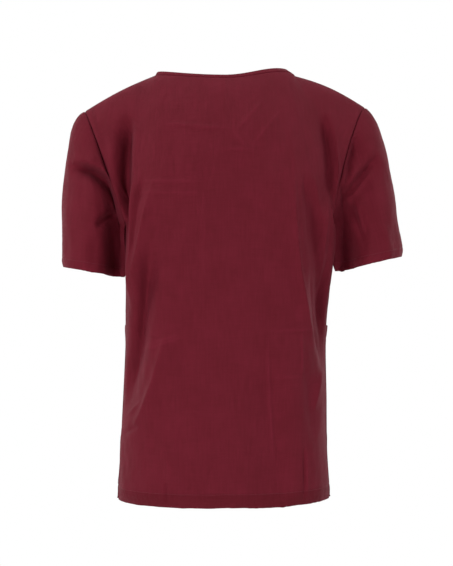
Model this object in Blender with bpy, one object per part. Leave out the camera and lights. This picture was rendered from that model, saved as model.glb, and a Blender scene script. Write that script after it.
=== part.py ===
"""Short-sleeved scrub top in woven cloth, hollow, with the form it has when it is worn.

+Z is up, the front faces -Y and the wearer's left is +X. The origin lies midway between
the two high shoulder points, where the garment hangs from its wearer. Tables are in
millimetres and the meshes are made in metres.
"""

import math
from collections import namedtuple

import bmesh
import bpy
import numpy as np
from mathutils import Vector

MM = 0.001

# Cloth and seams
CLOTH = 1.6
HEM_CLOTH = 2.4  # turned up and stitched, so it is thicker inwards
BAND_CLOTH = 2.2
POCKET_CLOTH = 1.2
SEAM_GAP = 0.3
UNDERARM_GAP = 0.7  # where the sleeve turns back beside the body
STEEP, SHALLOW = 0.5, 0.85  # cosines of the bend at a seam: square edges, mitred edges
BURGUNDY = (0.146, 0.012, 0.023, 1.0)

# Heights
UNDERARM = -245.0
CHEST = -130.0  # just under the V: rows of cloth are level up to here
HEM = -690.0
HEM_DEPTH = 22.0
HEM_LEAN = 0.008  # the wearer's left hangs this much lower for each millimetre across
HEM_SIDE_RISE = 4.0
HEM_LEAN_TOP = -560.0  # the hem's lean and rise fade out up to here
VENT_TOP = -622.0
VENT_OPEN = 5.0  # between the two flaps at the hem
VENT_FLARE = 3.0  # how far the front flap stands outside the back one

# Columns of cloth on each side of a panel's centre line, and rows from the hem up
SHOULDER_COLUMNS = 8
BACK_NECK_COLUMNS = 10
FRONT_NECK_COLUMNS = 8
SIDE_CROWDING = 0.35
BODY_ROWS = 14
CHEST_ROWS = 8
TOP_ROWS = 6
SLEEVE_ROWS = 10
SLEEVE_HEM = 14.0

# How the columns run up from the underarm to the shoulder and the neckline. Tangents are
# shares of a column's straight length, and a roll is how far it still leans in on arrival.
TURNS_TO_ARMHOLE = 0.72  # places beyond this one turn into the armhole's hollow
LEAVE_SHARE = 1.1
ARRIVE_SHARE = 0.8
SHOULDER_RISE = 0.12
NECK_RISE = 0.9
NECK_ROLL = {1: 0.75, -1: 0.35}  # behind and in front
NECK_SPREAD = 0.6  # share of the neckline over which the shoulder's roll fades

# Half widths and depths of the body at each height, and how square the section is
Section = namedtuple("Section", "height left right back front squareness")
SECTIONS = (
    Section(-690, 174, 170, 121, 120, 2.5),
    Section(-610, 169, 165, 117, 119, 2.5),
    Section(-520, 164.5, 164, 114, 120, 2.5),
    Section(-430, 160.5, 163, 112, 119, 2.8),
    Section(-360, 160, 168.5, 112, 119, 3.2),
    Section(-300, 160, 175.5, 111, 118, 3.6),
    Section(-245, 160.5, 177.5, 110, 117, 3.6),
)

# Each shoulder: its neck point and its tip, how far its seam bows up between them, how
# far its armhole is hollowed towards the body, and the free edge of the neck band on it.
# A back neckline with a large sweep sinks late on its way to the centre, and it may arch.
Side = namedtuple(
    "Side", "sign neck_x neck_z tip_x tip_z bow hollow band_x band_z neck_sweep neck_arch"
)
LEFT = Side(1, 114, -0.5, 228, -59, 4, 12, 110, 5, 2.3, 0)
RIGHT = Side(-1, 113, -1, 228, -53, 6.5, 48, 101, 8, 5, 5.5)
BAND_ARCH = 0.27  # how much of the neckline's arch its band's free edge follows
SHOULDER_Y = -3.0
BACK_NECK_Y = 52.0
BACK_NECK_Z = -9.5
VEE_Y = -111.0
VEE_Z = -117.0
VEE_FLAT = 24.0  # half the blunt tip of the V seam
VEE_BOW = 1.6
BACK_ARMHOLE_SCOOP = 165.0
FRONT_ARMHOLE_SCOOP = 190.0

# Free edge of the neck band
BAND_BACK_Y = 44.0
BAND_BACK_Z = -4.5
BAND_VEE_Y = -96.0
BAND_VEE_Z = -88.0

# Sleeves: the middle of the cuff's opening, its half width and half depth, its tilt in
# degrees, and how strongly the sleeve head leaves the shoulder sideways
Cuff = namedtuple("Cuff", "x y z half_width half_depth tilt cap_reach")
CUFFS = {
    LEFT: Cuff(214.5, -10, -319.5, 54, 64, 9, 144),
    RIGHT: Cuff(234, -10, -306.4, 58, 62, 12, 122),
}
UNDERARM_REACH = 30.0
CUFF_REACH = 120.0
SLEEVE_DROP = 100.0
SLEEVE_SPREAD = 30.0  # how far the sleeve swells to the back and front of its armhole
CAP_RISE = 30.0  # how much less the top of the sleeve head drops
CAP_ROUNDNESS = 1.5
TUCK = 0.6  # share by which the side towards the body sinks in, at this angle round it
TUCK_ANGLE = 42.0
TUCK_SPREAD = 26.0

FOLD_FADE = 0.3  # share of a fold's length over which each end fades
HELD_COLUMNS = 2  # cells beside a panel's side seam, and below its top, that folds leave
HELD_ROWS = 3

# Folds, each a curve seen square to the back or the front. A trough has a positive depth
# and a ridge a negative one; it fades over `left` millimetres towards the wearer's left
# and over `right` towards the right.
Fold = namedtuple("Fold", "start bend end depth left right")
BACK_FOLDS = (
    Fold((156, -62), (169, -150), (164, -270), 18, 13, 10),
    Fold((143, -165), (149, -265), (150, -390), -10, 8, 20),
    Fold((108, -262), (130, -400), (158, -560), 14, 11, 16),
    Fold((92, -390), (114, -510), (160, -590), -6, 9, 20),
    Fold((-144, -62), (-163, -130), (-168, -230), 12, 15, 10),
    Fold((-170, -165), (-169, -250), (-160, -370), -9, 16, 9),
    Fold((-108, -135), (-106, -330), (-163, -482), -6, 14, 9),
    Fold((-132, -180), (-150, -330), (-168, -490), 16, 15, 13),
)
FRONT_FOLDS = (
    Fold((158, -74), (170, -160), (164, -280), 16, 12, 10),
    Fold((148, -170), (153, -265), (153, -380), -9, 8, 22),
    Fold((-150, -70), (-166, -140), (-170, -250), 14, 13, 10),
    Fold((-176, -180), (-174, -270), (-164, -380), -9, 20, 9),
    Fold((104, -250), (122, -330), (152, -420), -5, 9, 14),
    Fold((116, -290), (136, -400), (160, -500), 8, 10, 12),
    Fold((-100, -220), (-118, -330), (-154, -430), -5, 14, 9),
    Fold((-116, -260), (-140, -370), (-164, -480), 8, 12, 10),
    Fold((-40, -420), (-56, -540), (-62, -690), -5, 20, 18),
    Fold((52, -450), (60, -560), (72, -690), -4, 18, 18),
)
# Each sleeve's folds behind, and those in front
SLEEVE_FOLDS = {
    LEFT: (
        (
            Fold((238, -170), (197, -172), (166, -226), 11, 13, 9),
            Fold((176, -190), (174, -255), (170, -350), 9, 12, 12),
        ),
        (Fold((236, -150), (200, -166), (172, -222), 7, 14, 9),),
    ),
    RIGHT: (
        (
            Fold((-250, -130), (-226, -168), (-182, -204), 8, 9, 14),
            Fold((-184, -190), (-184, -255), (-182, -335), 9, 12, 14),
        ),
        (Fold((-246, -140), (-222, -172), (-184, -206), 7, 9, 14),),
    ),
}

# Patch pockets on the front: each edge follows the nearest column or row of the cloth
# below it, and the lower corner nearest the centre is clipped over some of those columns
Pocket = namedtuple("Pocket", "name left right top bottom clip")
POCKETS = (
    Pocket("chest_pocket", 142, 28, -170, -330, 1),
    Pocket("lower_pocket_left", 170, 72, -420, -668, 1),
    Pocket("lower_pocket_right", -72, -170, -420, -668, 1),
)
UTILITY_POCKET = Pocket("utility_pocket", -72, -128, -420, -500, 0)


def smoothstep(value, low, high):
    t = np.clip((value - low) / (high - low), 0, 1)
    return t * t * (3 - 2 * t)


def unit(vectors):
    return vectors / np.maximum(np.linalg.norm(vectors, axis=-1, keepdims=True), 1e-9)


def hermite(start, leave, end, arrive, t):
    """The point at t of a curve that leaves start and arrives at end with these tangents."""
    return (
        (2 * t**3 - 3 * t**2 + 1) * start
        + (t**3 - 2 * t**2 + t) * leave
        + (3 * t**2 - 2 * t**3) * end
        + (t**3 - t**2) * arrive
    )


def read_off(rows, column, height):
    """The smooth value of one column of a table at a height."""
    heights = np.array([row.height for row in rows], float)
    values = np.array([getattr(row, column) for row in rows], float)
    slopes = np.gradient(values, heights)
    i = int(np.clip(np.searchsorted(heights, height) - 1, 0, len(rows) - 2))
    span = heights[i + 1] - heights[i]
    t = (height - heights[i]) / span
    return hermite(values[i], slopes[i] * span, values[i + 1], slopes[i + 1] * span, t)


# --- The lines that the pieces are sewn along ------------------------------------------


def body_point(turn, height):
    """A point of the body's section: turn 0 is the centre back, 90 the wearer's left."""
    angle = math.radians(turn)
    across, along = math.sin(angle), math.cos(angle)
    width = read_off(SECTIONS, "left" if across > 0 else "right", height)
    depth = read_off(SECTIONS, "back" if along > 0 else "front", height)
    power = 2 / read_off(SECTIONS, "squareness", height)
    x = math.copysign(width * abs(across) ** power, across)
    y = math.copysign(depth * abs(along) ** power, along)
    lift = HEM_SIDE_RISE * across**2 - HEM_LEAN * x
    near_hem = 1 - smoothstep(height, HEM, HEM_LEAN_TOP)
    return np.array([x, y, height + lift * near_hem])


def shoulder_point(side, share):
    """The shoulder seam, from the tip of the shoulder, share 0, to the neck, share 1."""
    x = side.tip_x + (side.neck_x - side.tip_x) * share
    z = side.tip_z + (side.neck_z - side.tip_z) * share
    bow = side.bow * math.sin(math.pi * share)
    return np.array([side.sign * x, SHOULDER_Y, z + bow])


def neck_height(side, angle, at_side, at_centre, arch):
    """How high a line round the back of the neck lies: angle 0 is on the shoulder."""
    sunk = math.sin(angle) ** side.neck_sweep
    arched = arch * math.sin(2 * angle) * math.cos(angle)
    return at_side + (at_centre - at_side) * sunk + arched


def back_neck_point(side, share):
    """The back neckline, from the shoulder, share 0, to the centre back, share 1."""
    angle = share * math.pi / 2
    x = side.sign * side.neck_x * math.cos(angle)
    y = SHOULDER_Y + (BACK_NECK_Y - SHOULDER_Y) * math.sin(angle)
    z = neck_height(side, angle, side.neck_z, BACK_NECK_Z, side.neck_arch)
    return np.array([x, y, z])


def vee_point(side, share):
    """The front neckline, from the shoulder down to the blunt tip of the V."""
    steep = 1 - 1 / FRONT_NECK_COLUMNS
    down = min(share / steep, 1)
    x = side.neck_x + (VEE_FLAT - side.neck_x) * down
    if share > steep:
        x = VEE_FLAT * (1 - share) / (1 - steep)
    y = SHOULDER_Y + (VEE_Y - SHOULDER_Y) * (1 - (1 - down) ** VEE_BOW)
    z = side.neck_z + (VEE_Z - side.neck_z) * down
    return np.array([side.sign * x, y, z])


def back_band_point(side, share):
    """The free edge of the band behind the neck, as far round as back_neck_point."""
    angle = share * math.pi / 2
    x = side.sign * side.band_x * math.cos(angle)
    y = SHOULDER_Y + (BAND_BACK_Y - SHOULDER_Y) * math.sin(angle)
    arch = side.neck_arch * BAND_ARCH
    z = neck_height(side, angle, side.band_z, BAND_BACK_Z, arch)
    return np.array([x, y, z])


def front_band_point(side, share):
    """The free edge of the band down the V."""
    x = side.band_x * (1 - share)
    y = SHOULDER_Y + (BAND_VEE_Y - SHOULDER_Y) * (1 - (1 - share) ** VEE_BOW)
    z = side.band_z + (BAND_VEE_Z - side.band_z) * share
    return np.array([side.sign * x, y, z])


# --- The outer face of each piece, as a grid of points ---------------------------------


def panel_columns(neck_columns):
    """Each column of a panel, from the wearer's left: (side, place, is on shoulder, share).

    Place runs from 1 at the side to 0 at the centre, and share along the column's top.
    """
    half = SHOULDER_COLUMNS + neck_columns
    for i in range(2 * half + 1):
        side = LEFT if i <= half else RIGHT
        from_side = min(i, 2 * half - i)
        even = 1 - from_side / half
        crowded = math.sin(math.pi / 2 * even)
        place = even + SIDE_CROWDING * (crowded - even)
        if from_side <= SHOULDER_COLUMNS:
            yield side, place, True, from_side / SHOULDER_COLUMNS
        else:
            yield side, place, False, (from_side - SHOULDER_COLUMNS) / neck_columns


def body_heights():
    """The level rows below the underarm: the hem, its upper edge and the rest."""
    return np.concatenate([[HEM], np.linspace(HEM + HEM_DEPTH, UNDERARM, BODY_ROWS)])


def rising_part(start, leave, top, arrive):
    """A column above the underarm: level with its neighbours to the chest line."""
    t = np.linspace(0, 1, 201)
    heights = [hermite(start, leave, top, arrive, value)[2] for value in t]
    levels = np.linspace(UNDERARM, CHEST, CHEST_ROWS + 1)[1:]
    level_t = np.interp(levels, heights, t)
    upper_t = np.linspace(level_t[-1], 1, TOP_ROWS + 1)[1:]
    every = np.concatenate([level_t, upper_t])
    return [hermite(start, leave, top, arrive, value) for value in every]


def panel_grid(facing, neck_columns, scoop, neck_point):
    """The outer face of the back, facing 1, or of the front, facing -1."""
    grid = []
    for side, place, on_shoulder, share in panel_columns(neck_columns):
        turn = 90 * place if facing > 0 else 180 - 90 * place
        column = [body_point(side.sign * turn, height) for height in body_heights()]
        start = column[-1]
        top = shoulder_point(side, share) if on_shoulder else neck_point(side, share)
        at_neck = 0 if on_shoulder else smoothstep(share, 0, NECK_SPREAD)
        at_side = smoothstep(place, TURNS_TO_ARMHOLE, 1.0)
        reach = np.linalg.norm(top - start)
        hollow = side.sign * side.hollow * at_side
        upward = (1 - at_side) * reach
        leave = np.array([-hollow, at_side * facing * scoop, upward * LEAVE_SHARE])
        over_shoulder = np.array([0, -facing, SHOULDER_RISE * (1 - at_side)])
        up_to_neck = np.array([0, -facing * NECK_ROLL[facing], NECK_RISE])
        rolled = over_shoulder + at_neck * (up_to_neck - over_shoulder)
        arrive = rolled * (at_side * scoop + upward * ARRIVE_SHARE)
        arrive[0] += hollow
        column.extend(rising_part(start, leave, top, arrive))
        grid.append(column)
    return np.array(grid)


def sleeve_grid(side, back, front):
    """A sleeve's outer face: round from the underarm up the back, and down to the cuff."""
    edge = 0 if side is LEFT else -1
    up_the_back = back[edge, BODY_ROWS:]
    down_the_front = front[edge, BODY_ROWS:][::-1]
    armhole = np.concatenate([up_the_back, down_the_front[1:-1]])
    cuff = CUFFS[side]
    tilt = math.radians(cuff.tilt)
    down = np.array([side.sign * math.sin(tilt), 0, -math.cos(tilt)])
    sideways = np.array([side.sign * math.cos(tilt), 0, math.sin(tilt)])
    middle = np.array([side.sign * cuff.x, cuff.y, cuff.z])
    grid = []
    for i, start in enumerate(armhole):
        angle = 2 * math.pi * i / len(armhole)
        high = (1 - math.cos(angle)) / 2
        from_tuck = 180 - abs(math.degrees(angle) - 180) - TUCK_ANGLE
        tuck = TUCK * math.exp(-((from_tuck / TUCK_SPREAD) ** 2))
        end = middle - sideways * cuff.half_width * math.cos(angle)
        end[1] += cuff.half_depth * math.sin(angle) * (1 - tuck)
        out = UNDERARM_REACH + (cuff.cap_reach - UNDERARM_REACH) * high**CAP_ROUNDNESS
        swell = SLEEVE_SPREAD * math.sin(angle)
        leave = np.array([side.sign * out, swell, CAP_RISE * high - SLEEVE_DROP])
        arrive = down * [high, 1, 1] * CUFF_REACH
        above_hem = 1 - SLEEVE_HEM / np.linalg.norm(end - start)
        shares = np.append(np.linspace(0, above_hem, SLEEVE_ROWS), 1)
        grid.append([hermite(start, leave, end, arrive, t) for t in shares])
    return np.array(grid)


def band_grid(seam, edge):
    """A neck band's outer face, from its seam to its free edge."""
    return np.array([[a, (a + b) / 2, b] for a, b in zip(seam, edge)])


def grid_normals(grid, around, turned):
    """Outward directions: around says that the columns close into a ring."""
    if around:
        columns = np.roll(grid, -1, axis=0) - np.roll(grid, 1, axis=0)
    else:
        columns = np.gradient(grid, axis=0)
    rows = np.gradient(grid, axis=1)
    return turned * unit(np.cross(columns, rows))


# --- Folds -----------------------------------------------------------------------------


def fold_line(fold, samples=25):
    t = np.linspace(0, 1, samples)[:, None]
    start, bend, end = (np.array(p, float) for p in (fold.start, fold.bend, fold.end))
    return (1 - t) ** 2 * start + 2 * t * (1 - t) * bend + t**2 * end


def fold_depth(grid, fold):
    """How deep one fold is at each point of a grid, seen square to the back or front."""
    line = fold_line(fold)
    away = grid[:, :, None, [0, 2]] - line
    distance = np.linalg.norm(away, axis=-1)
    nearest = distance.argmin(axis=-1)
    gap = distance.min(axis=-1)
    across = np.take_along_axis(away[..., 0], nearest[..., None], axis=2)[..., 0]
    width = np.where(across > 0, fold.left, fold.right)
    along = nearest / (len(line) - 1)
    fade = smoothstep(along, 0, FOLD_FADE) * smoothstep(1 - along, 0, FOLD_FADE)
    return fold.depth * np.exp(-((gap / width) ** 2)) * fade


def folded(grid, normals, folds, facing, held):
    """The grid with its folds pressed in where it faces that way and isn't held."""
    seen = smoothstep(normals[..., 1] * facing, 0.0, 0.35)
    depth = sum(fold_depth(grid, fold) for fold in folds) * seen * held
    return grid - unit(normals + [0, facing, 0]) * depth[..., None]


def panel_held(grid):
    """0 along a panel's seams and 1 inside it."""
    columns = np.arange(grid.shape[0])
    rows = np.arange(grid.shape[1])
    at_side = smoothstep(np.minimum(columns, columns[-1] - columns), 0, HELD_COLUMNS)
    at_top = smoothstep(rows[-1] - rows, 0, HELD_ROWS)
    return at_side[:, None] * at_top


# --- Walls -----------------------------------------------------------------------------


class Sheet:
    """One cut piece: the grid of its outer face, its thickness and its seams."""

    def __init__(self, name, grid, turned, thickness, around=False):
        self.name = name
        self.grid = grid
        self.around = around
        self.normals = grid_normals(grid, around, turned)
        self.thickness = np.full(grid.shape[:2], float(thickness))
        self.shift = np.zeros_like(grid)
        self.inward = -self.normals * self.thickness[..., None]
        self.sewn = []  # the column and row of each point on a seam

    def thicken(self, rows, thickness):
        self.thickness[:, rows] = thickness
        self.inward = -self.normals * self.thickness[..., None]

    def sew(self, points, step_columns, step_rows, gap=SEAM_GAP / 2):
        """Marks points as a seam and draws the cloth back from it by half its gap."""
        gaps = np.broadcast_to(gap, (len(points),))
        for (i, j), amount in zip(points, gaps):
            into = unit(self.grid[i + step_columns, j + step_rows] - self.grid[i, j])
            self.shift[i, j] += into * amount
            self.sewn.append((i, j))

    def faces_of(self):
        """The outer and inner points of the wall."""
        outer = self.grid + self.shift
        return outer, outer + self.inward


def match_seams(sheets):
    """Turns the edges that meet at a seam to one common plane, so that none overlaps.

    Where the cloth turns back on itself, as under the arm, each keeps its own square edge.
    """
    meeting = {}
    for sheet in sheets:
        for i, j in sorted(set(sheet.sewn)):
            place = tuple(np.round(sheet.grid[i, j], 2))
            meeting.setdefault(place, []).append((sheet, i, j))
    for members in meeting.values():
        normals = [sheet.normals[i, j] for sheet, i, j in members]
        common = unit(np.sum(normals, axis=0))
        for (sheet, i, j), normal in zip(members, normals):
            slope = max(np.dot(normal, common), STEEP)
            mitred = smoothstep(slope, STEEP, SHALLOW)
            across_seam = mitred * common / slope + (1 - mitred) * normal
            sheet.inward[i, j] = -across_seam * sheet.thickness[i, j]


def grid_cells(columns, rows, around=False, clip=None):
    """Corner positions of each cell; clip takes a lower corner off along a diagonal."""
    cells = []
    for i in range(columns if around else columns - 1):
        for j in range(rows - 1):
            k = (i + 1) % columns
            cell = [(i, j), (k, j), (k, j + 1), (i, j + 1)]
            if clip:
                size, at_end = clip
                from_corner = (columns - 2 - i if at_end else i) + j
                if from_corner < size - 1:
                    continue
                if from_corner == size - 1:
                    cell.remove((k, j) if at_end else (i, j))
            cells.append(cell)
    return cells


def wall(name, outer, inner, cells, material):
    """A closed wall between an outer and an inner grid of points."""
    shape = bmesh.new()
    skins = []
    for grid in (outer, inner):
        used = {corner for cell in cells for corner in cell}
        skins.append({c: shape.verts.new(Vector(grid[c] * MM)) for c in sorted(used)})
    edges = {(a, b) for cell in cells for a, b in zip(cell, cell[1:] + cell[:1])}
    for cell in cells:
        for second in range(1, len(cell) - 1):
            triangle = (cell[0], cell[second], cell[second + 1])
            shape.faces.new([skins[0][corner] for corner in triangle])
            shape.faces.new([skins[1][corner] for corner in reversed(triangle)])
    for a, b in sorted(edges):
        if (b, a) not in edges:
            shape.faces.new((skins[0][b], skins[0][a], skins[1][a], skins[1][b]))
    bmesh.ops.recalc_face_normals(shape, faces=shape.faces)
    mesh = bpy.data.meshes.new(name)
    shape.to_mesh(mesh)
    shape.free()
    mesh.shade_smooth()
    mesh.set_sharp_from_angle(angle=math.radians(50))
    mesh.materials.append(material)
    piece = bpy.data.objects.new(name, mesh)
    bpy.context.scene.collection.objects.link(piece)
    return piece


def cloth_material(name):
    material = bpy.data.materials.new(name)
    material.use_nodes = True
    shader = material.node_tree.nodes["Principled BSDF"]
    shader.inputs["Base Color"].default_value = BURGUNDY
    shader.inputs["Roughness"].default_value = 0.8
    shader.inputs["Metallic"].default_value = 0.0
    return material


# --- The pieces ------------------------------------------------------------------------


def make_panel(name, facing, neck_columns, scoop, neck_point, folds):
    plain = panel_grid(facing, neck_columns, scoop, neck_point)
    normals = grid_normals(plain, False, facing)
    grid = folded(plain, normals, folds, facing, panel_held(plain))
    sheet = Sheet(name, grid, facing, CLOTH)
    sheet.thicken(slice(0, 2), HEM_CLOTH)
    last = grid.shape[0] - 1
    top = grid.shape[1] - 1
    below = (VENT_TOP - grid[0, :, 2]) / (VENT_TOP - HEM)
    gap = SEAM_GAP / 2 + np.clip(below, 0, 1) * VENT_OPEN / 2
    for column, step in ((0, 1), (last, -1)):
        sheet.sew([(column, j) for j in range(top + 1)], step, 0, gap)
        flare = np.clip(below, 0, 1) * VENT_FLARE * (-facing) / 2
        sheet.shift[column] += sheet.normals[column] * flare[:, None]
    sheet.sew([(i, top) for i in range(last + 1)], 0, -1)
    return sheet


def make_sleeve(name, side, back, front):
    turned = side.sign
    plain = sleeve_grid(side, back.grid, front.grid)
    normals = grid_normals(plain, True, turned)
    held = np.broadcast_to(smoothstep(np.arange(plain.shape[1]), 0, 2), plain.shape[:2])
    behind, before = SLEEVE_FOLDS[side]
    grid = folded(plain, normals, behind, 1, held)
    grid = folded(grid, normals, before, -1, held)
    sheet = Sheet(name, grid, turned, CLOTH, around=True)
    sheet.thicken(slice(-2, None), HEM_CLOTH)
    low = np.cos(np.arange(grid.shape[0]) * math.pi / grid.shape[0]) ** 8
    gap = SEAM_GAP + (UNDERARM_GAP - SEAM_GAP) * low
    sheet.sew([(i, 0) for i in range(grid.shape[0])], 0, 1, gap)
    return sheet


def make_back_band(back):
    seam = back.grid[SHOULDER_COLUMNS : -SHOULDER_COLUMNS, -1]
    shares = np.arange(BACK_NECK_COLUMNS + 1) / BACK_NECK_COLUMNS
    left_edge = [back_band_point(LEFT, share) for share in shares]
    right_edge = [back_band_point(RIGHT, share) for share in shares]
    sheet = Sheet(
        "neck_band_back", band_grid(seam, left_edge + right_edge[-2::-1]), 1, BAND_CLOTH
    )
    return sew_band(sheet)


def make_front_band(side, front):
    name = "neck_band_left" if side is LEFT else "neck_band_right"
    seam = front.grid[SHOULDER_COLUMNS : -SHOULDER_COLUMNS, -1]
    if side is RIGHT:
        seam = seam[::-1]
    seam = seam[: FRONT_NECK_COLUMNS + 1]
    shares = np.arange(FRONT_NECK_COLUMNS + 1) / FRONT_NECK_COLUMNS
    edge = [front_band_point(side, share) for share in shares]
    sheet = Sheet(name, band_grid(seam, edge), -side.sign, BAND_CLOTH)
    return sew_band(sheet)


def sew_band(sheet):
    last = sheet.grid.shape[0] - 1
    sheet.sew([(i, 0) for i in range(last + 1)], 0, 1, SEAM_GAP)
    sheet.sew([(0, j) for j in range(3)], 1, 0)
    sheet.sew([(last, j) for j in range(3)], -1, 0)
    return sheet


def nearest_line(values, wanted):
    return int(np.abs(np.asarray(values) - wanted).argmin())


def make_pocket(pocket, front, under, material):
    """A patch on the front panel, made from the panel's own points, moved out."""
    middle_row = nearest_line(front.grid[0, :, 2], (pocket.top + pocket.bottom) / 2)
    across = front.grid[:, middle_row, 0]
    first = nearest_line(across, pocket.left)
    last = nearest_line(across, pocket.right)
    heights = front.grid[front.grid.shape[0] // 2, :, 2]
    low = nearest_line(heights, pocket.bottom)
    high = nearest_line(heights, pocket.top)
    part = (slice(first, last + 1), slice(low, high + 1))
    panel, _ = front.faces_of()
    inner = panel[part] + front.normals[part] * (under + SEAM_GAP)
    outer = inner + front.normals[part] * POCKET_CLOTH
    clip = None
    if pocket.clip:
        clip = (pocket.clip, pocket.left > 0)
    cells = grid_cells(*outer.shape[:2], clip=clip)
    wall(pocket.name, outer, inner, cells, material)


def build():
    for leftover in list(bpy.data.objects):
        bpy.data.objects.remove(leftover, do_unlink=True)
    back = make_panel(
        "back_panel", 1, BACK_NECK_COLUMNS, BACK_ARMHOLE_SCOOP, back_neck_point, BACK_FOLDS
    )
    front = make_panel(
        "front_panel", -1, FRONT_NECK_COLUMNS, FRONT_ARMHOLE_SCOOP, vee_point, FRONT_FOLDS
    )
    sheets = [
        back,
        front,
        make_sleeve("sleeve_left", LEFT, back, front),
        make_sleeve("sleeve_right", RIGHT, back, front),
        make_back_band(back),
        make_front_band(LEFT, front),
        make_front_band(RIGHT, front),
    ]
    match_seams(sheets)
    for sheet in sheets:
        outer, inner = sheet.faces_of()
        cells = grid_cells(*outer.shape[:2], around=sheet.around)
        wall(sheet.name, outer, inner, cells, cloth_material(sheet.name))
    for pocket in POCKETS:
        make_pocket(pocket, front, 0, cloth_material(pocket.name))
    stacked = SEAM_GAP + POCKET_CLOTH
    make_pocket(UTILITY_POCKET, front, stacked, cloth_material(UTILITY_POCKET.name))


build()
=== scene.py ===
"""A short-sleeved scrub top in burgundy twill, filled out as when it is worn, in a plain studio.

+Z is up, the front faces -Y and the wearer's left is +X. Sizes are in millimetres, and the
meshes are made in metres. The pieces come in the order in which they are cut and sewn.
"""

import math
from collections import namedtuple

import bpy
import numpy as np
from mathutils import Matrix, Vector


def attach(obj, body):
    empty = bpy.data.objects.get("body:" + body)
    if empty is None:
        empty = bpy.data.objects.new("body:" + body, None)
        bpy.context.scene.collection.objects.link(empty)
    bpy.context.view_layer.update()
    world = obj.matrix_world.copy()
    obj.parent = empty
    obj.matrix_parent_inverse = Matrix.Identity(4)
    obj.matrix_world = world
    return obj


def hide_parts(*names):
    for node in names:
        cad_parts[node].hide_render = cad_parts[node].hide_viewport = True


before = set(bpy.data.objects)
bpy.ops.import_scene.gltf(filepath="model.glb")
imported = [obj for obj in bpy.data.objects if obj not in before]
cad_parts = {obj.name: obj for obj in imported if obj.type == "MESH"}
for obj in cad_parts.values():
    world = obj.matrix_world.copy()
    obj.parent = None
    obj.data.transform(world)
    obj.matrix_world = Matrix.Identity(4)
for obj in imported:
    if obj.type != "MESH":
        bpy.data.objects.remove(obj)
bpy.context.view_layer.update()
MM = 0.001


# --- Burgundy twill ---------------------------------------------------------------------
# All pieces are cut from one cloth: a smooth twill of polyester and rayon with a little
# elastane, about 190 g/m2. From a step away its threads give a faint upright grain and a
# low sheen that is brightest where the cloth turns away.

TWILL_HEX = "641320"
TWILL_LIGHT_HEX = "7b1f31"
TWILL_SHEEN_HEX = "c87080"
TWILL_SURFACE = {
    "IOR": 1.5,
    "Specular IOR Level": 0.15,
    "Sheen Weight": 0.16,
    "Sheen Roughness": 0.45,
}
TWILL_ROUGHNESS = 0.78
ROUGHNESS_SWAY = 0.06  # how much rougher or smoother than that single yarns are
TWILL_PITCH = 1.1  # from one diagonal rib to the next; 0.6 in the real cloth, too fine to show
RIB_SLOPE = 1.4
RIB_HEIGHT = 0.25  # against the unevenness of the yarns
TWILL_BUMP = 0.8
TWILL_RELIEF = 0.35
YARN_WIDTH = 2.4  # of a streak; a real yarn is a few tenths wide, too fine to show
YARN_LENGTH = 34.0
YARN_CONTRAST = 1.3  # how far uneven yarns change the colour
WEFT_SHARE = 0.4
BLOTCH_SIZE = 45.0
BLOTCH_CONTRAST = 0.6


def linear(hex_colour):
    """The linear colour of an sRGB hex value."""
    parts = [int(hex_colour[i : i + 2], 16) / 255 for i in (0, 2, 4)]
    parts = [p / 12.92 if p <= 0.04045 else ((p + 0.055) / 1.055) ** 2.4 for p in parts]
    return (*parts, 1.0)


def new_material(name, surface):
    """A material with these values on its shader's own sockets, its tree and its shader."""
    material = bpy.data.materials.new(name)
    material.use_nodes = True
    shader = material.node_tree.nodes["Principled BSDF"]
    for socket, value in surface.items():
        shader.inputs[socket].default_value = value
    return material, material.node_tree, shader


def add_node(tree, kind, settings=None, inputs=None):
    """A new node with its settings, and its inputs set to values or linked to sockets. A Mix
    node's inputs go by number: 2 and 3 are its two numbers, 6 and 7 its two colours."""
    node = tree.nodes.new(kind)
    for name, value in (settings or {}).items():
        setattr(node, name, value)
    for name, value in (inputs or {}).items():
        if isinstance(value, bpy.types.NodeSocket):
            tree.links.new(value, node.inputs[name])
        else:
            node.inputs[name].default_value = value
    return node


def compute(tree, operation, *values, clamp=False):
    """What a Math node makes of these values or sockets."""
    settings = {"operation": operation, "use_clamp": clamp}
    return add_node(tree, "ShaderNodeMath", settings, dict(enumerate(values))).outputs["Value"]


def wave_over(tree, place, per_metre):
    """A wave between -1 and 1 with this many crests for each metre across and along."""
    inputs = {0: place, 1: [2 * math.pi * part for part in per_metre]}
    phase = add_node(tree, "ShaderNodeVectorMath", {"operation": "DOT_PRODUCT"}, inputs)
    return compute(tree, "SINE", phase.outputs["Value"])


def colour_between(tree, share, dark, light):
    """A colour from the dark hex value to the light one."""
    inputs = {"Factor": share, 6: linear(dark), 7: linear(light)}
    return add_node(tree, "ShaderNodeMix", {"data_type": "RGBA"}, inputs).outputs[2]


def bumped(tree, strength, relief, height):
    """The direction out of a surface with a relief of this many millimetres."""
    inputs = {"Strength": strength, "Distance": relief * MM, "Height": height}
    return add_node(tree, "ShaderNodeBump", inputs=inputs).outputs["Normal"]


def uneven_yarns(tree, laid, across, along):
    """Noise drawn out into streaks of this size, for yarns that vary in thickness."""
    inputs = {"Vector": laid, "Scale": (1 / (across * MM), 1 / (along * MM), 1)}
    stretched = add_node(tree, "ShaderNodeMapping", inputs=inputs)
    inputs = {"Vector": stretched.outputs["Vector"], "Scale": 1.0, "Detail": 2.0}
    return add_node(tree, "ShaderNodeTexNoise", inputs=inputs).outputs["Fac"]


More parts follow.
